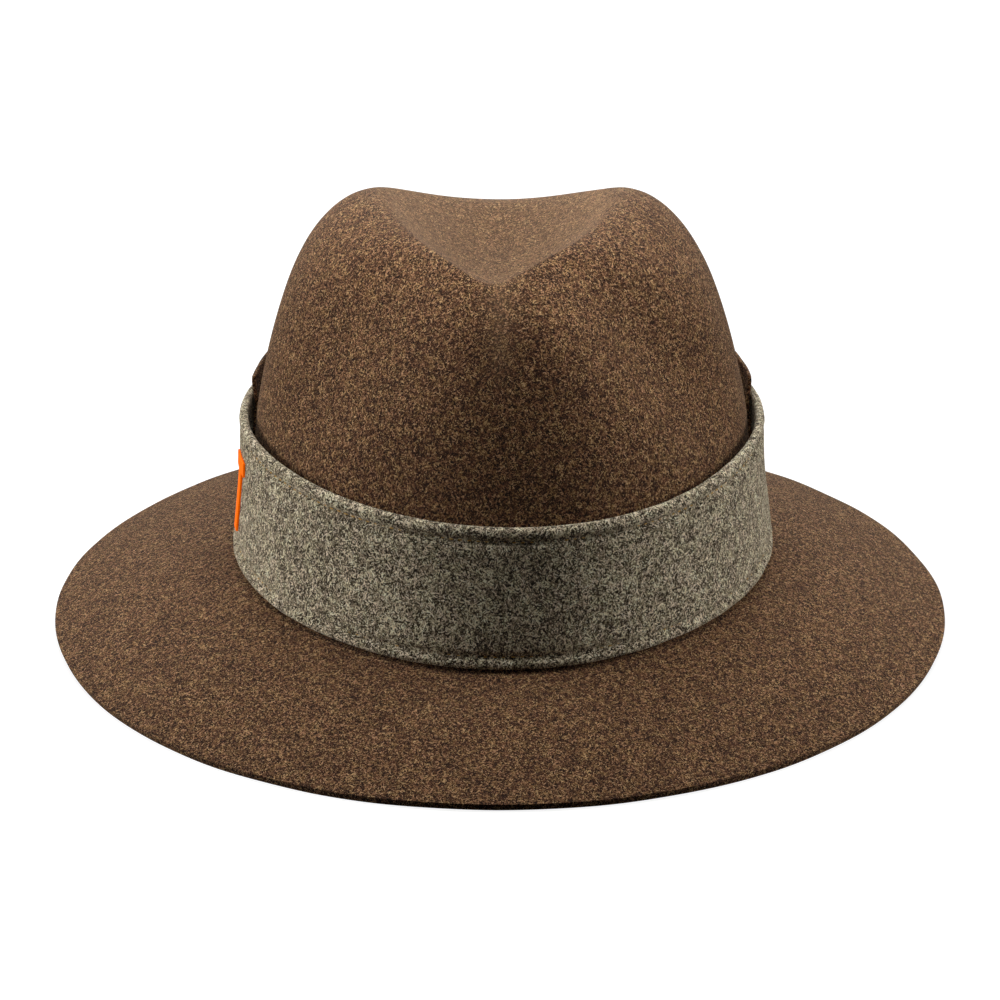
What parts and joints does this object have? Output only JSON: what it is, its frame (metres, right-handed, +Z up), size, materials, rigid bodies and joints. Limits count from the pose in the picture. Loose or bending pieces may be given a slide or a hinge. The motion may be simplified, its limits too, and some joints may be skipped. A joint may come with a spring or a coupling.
{
  "type": "hunting hat",
  "caption": "Felt hat with a teardrop dent, sloping brim, wide cloth band, standing neck flap and a small signal tab.",
  "frame": {"origin": "middle of the hat on the surface that its brim rests on", "axes": "+Z up, -Y to the hat's front, +X to the right of someone who faces it"},
  "size_m": [0.302, 0.334, 0.145],
  "materials": {
    "hat_felt": "brown mottled wool felt, brushed and matt",
    "band_cloth": "grey-green mottled fulled wool cloth",
    "flap_felt": "thin brown wool felt",
    "signal_strip": "bright orange woven strip"
  },
  "bodies": {
    "root": {"felt_body": "hat_felt", "hat_band": "band_cloth", "neck_flap": "flap_felt", "signal_tab": "signal_strip"}
  },
  "joints": []
}
